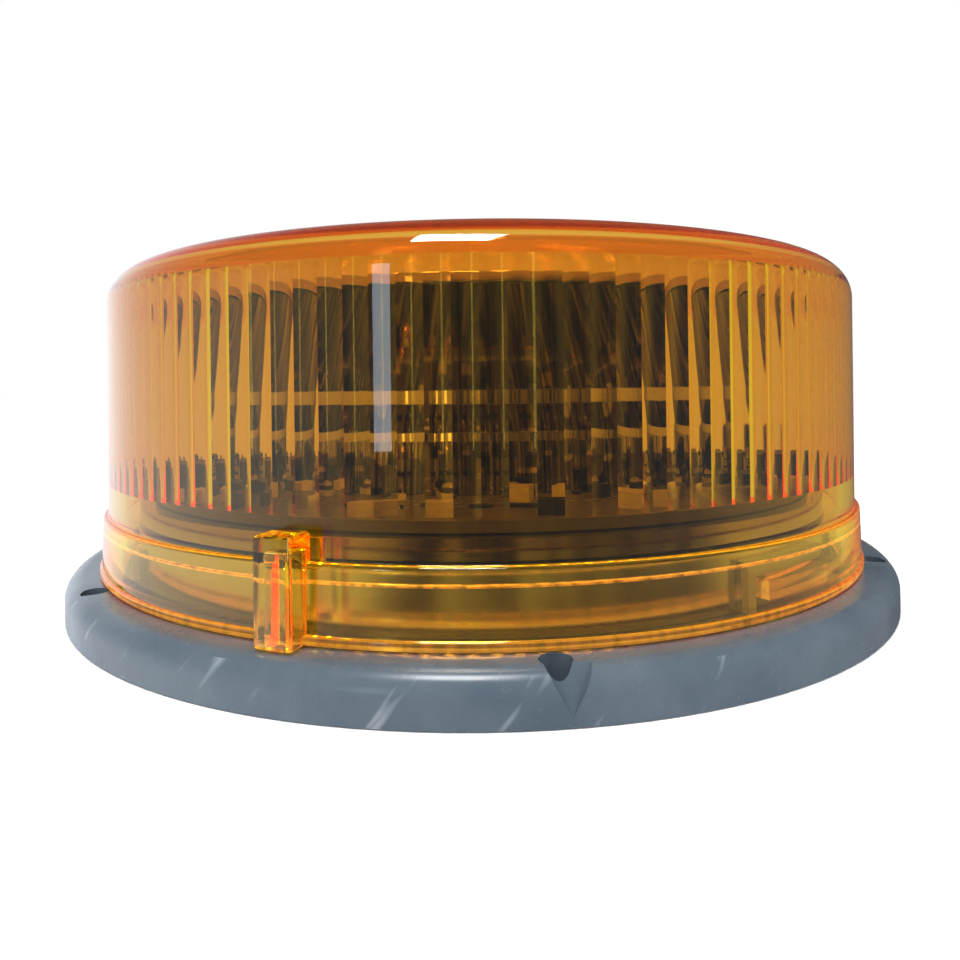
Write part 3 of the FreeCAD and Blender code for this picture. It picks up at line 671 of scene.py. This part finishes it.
FINISH = {
    "base_housing": "flange",
    "mounting_gasket": "rubber",
    "lens_seal": "rubber",
    "cable_grommet": "rubber",
    "breather_plug": "epoxy",
    "heat_sink_plate": "bare_metal",
    "thermal_pad": "pad",
    "circuit_board": "board",
    "reflector_screw": "steel",
    "board_screws": "steel",
    "inner_leds": "white",
    "outer_leds": "white",
    "tantalum_capacitors": "yellow",
    "ceramic_capacitors": "tan",
    "rectifier_diodes": "epoxy",
    "chip_resistors": "epoxy",
    "switching_transistors": "epoxy",
    "transistor_tabs": "tinned",
    "power_inductors": "ferrite",
    "electrolytic_capacitors": "can",
    "capacitor_seats": "epoxy",
    "controller_chip": "epoxy",
    "controller_legs": "tinned",
    "terminal_block": "green",
    "terminal_screws": "steel",
    "fuse_tube": "dome",
    "fuse_caps": "tinned",
    "fuse_clips": "tinned",
}


def dress_nodes():
    """Gives every CAD node that shows its finish."""
    for name, finish in FINISH.items():
        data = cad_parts[name].data
        data.materials.clear()
        data.materials.append(LOOKS[finish])


# ---- stage -------------------------------------------------------------------------------------

WHITE = (1, 1, 1, 1)
LENS_ROOM = (0.8, 0.8, 0.8, 1)         # the room as seen through the lens
GLOSS_ROOM = (0.75, 0.8, 0.86, 1)      # the room as mirrored by the outside
GLOSS_BASE = 0.14
GLOSS_LOBES = [                        # direction, sharpness, strength
    ((-0.68, 0.73, 0.05), 8, 1.5),     # back left
    ((-0.85, -0.1, -0.4), 4, 1.5),     # low on the left
    ((0.85, -0.2, -0.45), 4, 0.4),     # low on the right
    ((0, -0.8, -0.6), 5, 0.12),        # low in front
]
DARK_PATCHES = [                       # direction, and degrees from it of the core and the edge
    ((0.4, -1, -0.9), 42, 60),         # low behind the camera
    ((0, 0, -1), 56, 72),              # what the beacon stands on
]
DARKEST, PALEST = 0.015, 0.45          # the streaks of a patch's core
FLOOR_SIZE = 40.0                      # metres
LIGHTS = [                             # name, place, aim, sides in metres, watts, colour
    ("top_box", (-0.05, -0.28, 0.64), (0, -0.07, 0.06), (0.2, 0.2), 3.0, (1, 1, 1)),
    ("left_strip", (-0.42, -0.9, 0.12), (0, -0.07, 0.04), (0.08, 0.34), 0.35, (0.72, 0.86, 1.0)),
]
BOUNCES = 128                          # light is caught in the lens's top for many of them


def area_light(name, place, aim, sides, power, colour):
    """A soft rectangular light that looks at a point."""
    data = bpy.data.lights.new(name, "AREA")
    data.shape = "RECTANGLE"
    data.size, data.size_y = sides
    data.energy = power
    data.color = colour
    lamp = bpy.data.objects.new(name, data)
    bpy.context.collection.objects.link(lamp)
    lamp.location = place
    lamp.rotation_euler = (Vector(aim) - Vector(place)).to_track_quat("-Z", "Y").to_euler()


def cosine(graph, direction, aim):
    """How nearly a view direction points at an aim: 1 at the aim, 0 square to it."""
    dot = graph.node("ShaderNodeVectorMath", operation="DOT_PRODUCT")
    graph.link(direction, dot.inputs[0])
    dot.inputs[1].default_value = Vector(aim).normalized()
    return dot.outputs["Value"]


def lobe(graph, direction, aim, sharpness, strength):
    """A soft patch of light in the world's background, round a direction."""
    near = graph.maths("MAXIMUM", cosine(graph, direction, aim), 0.0)
    return graph.maths("MULTIPLY", graph.maths("POWER", near, sharpness), strength)


def dark_patch(graph, direction, aim, core, edge):
    """White dimmed to streaked near-black round a direction, between an edge and a core."""
    tall = graph.node("ShaderNodeMapping", Scale=(1, 1, 0.12))
    graph.link(direction, tall.inputs["Vector"])
    streaks = graph.node("ShaderNodeTexNoise", Scale=9.0, Detail=3.0)
    graph.link(tall.outputs["Vector"], streaks.inputs["Vector"])
    depth = graph.node("ShaderNodeMapRange", From_Min=0.45, From_Max=0.72, To_Min=DARKEST, To_Max=PALEST)
    graph.link(streaks.outputs["Fac"], depth.inputs["Value"])
    fade = graph.node("ShaderNodeMapRange", interpolation_type="SMOOTHSTEP", To_Min=1.0,
                      From_Min=math.cos(math.radians(edge)), From_Max=math.cos(math.radians(core)))
    graph.link(cosine(graph, direction, aim), fade.inputs["Value"])
    graph.link(depth.outputs["Result"], fade.inputs["To Max"])
    return fade.outputs["Result"]


def mixed(graph, amount, first, second):
    """A shader that is the first one at 0 and the second one at 1."""
    made = graph.node("ShaderNodeMixShader")
    graph.link(amount, made.inputs["Fac"])
    graph.link(first, made.inputs[1])
    graph.link(second, made.inputs[2])
    return made.outputs[0]


def make_world():
    """A white room, with a dimmer one for reflections and a patched one behind the lens."""
    world = bpy.data.worlds.new("pale_room")
    bpy.context.scene.world = world
    world.use_nodes = True
    graph = Graph(world.node_tree)
    direction = graph.node("ShaderNodeTexCoord").outputs["Generated"]
    white = graph.tree.nodes["Background"]
    white.inputs["Color"].default_value = WHITE
    white.inputs["Strength"].default_value = 1.0

    mirrored = graph.node("ShaderNodeBackground", Color=GLOSS_ROOM)
    strength = GLOSS_BASE
    for aim, sharpness, power in GLOSS_LOBES:
        strength = graph.maths("ADD", strength, lobe(graph, direction, aim, sharpness, power))
    graph.link(strength, mirrored.inputs["Strength"])

    patched = graph.node("ShaderNodeBackground", Color=LENS_ROOM)
    shades = [dark_patch(graph, direction, *patch) for patch in DARK_PATCHES]
    graph.link(graph.maths("MINIMUM", *shades), patched.inputs["Strength"])

    rays = graph.node("ShaderNodeLightPath")
    outside = graph.maths("LESS_THAN", rays.outputs["Transmission Depth"], 0.5)
    gloss = graph.maths("MULTIPLY", rays.outputs["Is Glossy Ray"], outside)
    seen = mixed(graph, outside, patched.outputs[0], white.outputs[0])
    room = mixed(graph, gloss, seen, mirrored.outputs[0])
    graph.link(room, graph.tree.nodes["World Output"].inputs["Surface"])


def make_stage():
    """Pale floor, white surroundings, soft lights."""
    make_world()
    bpy.ops.mesh.primitive_plane_add(size=FLOOR_SIZE, location=(0, 0, 0))
    floor = bpy.context.object
    floor.name = "pale_floor"
    floor.visible_glossy = False
    floor.visible_transmission = False
    paint = Look("pale_floor", (1.0, 1.0, 1.0), 0.9, Specular_IOR_Level=0.0)
    floor.data.materials.append(paint.material)
    for light in LIGHTS:
        area_light(*light)


def make_camera():
    """The photograph's view: level, close, with the optical axis above the picture's middle."""
    data = bpy.data.cameras.new("camera")
    data.lens = FOCAL
    data.sensor_width = SENSOR
    data.shift_y = -SHIFT_DOWN
    data.clip_start = 0.01
    camera = bpy.data.objects.new("camera", data)
    bpy.context.collection.objects.link(camera)
    camera.location = (0, -EYE_DISTANCE * MM, EYE_HEIGHT * MM)
    level = Matrix.Rotation(math.radians(90), 3, "X")
    camera.rotation_euler = (level @ Matrix.Rotation(math.radians(EYE_ROLL), 3, "Z")).to_euler()
    bpy.context.scene.camera = camera


make_camera()
make_stage()
dress_nodes()
make_reflector()
for ring, (radius, count, first) in LED_RINGS.items():
    make_led_domes(ring, radius, count, first)
make_lens()
make_lugs()

scene = bpy.context.scene
scene.view_settings.view_transform = "Standard"
scene.cycles.max_bounces = BOUNCES
scene.cycles.transmission_bounces = BOUNCES
scene.cycles.glossy_bounces = BOUNCES
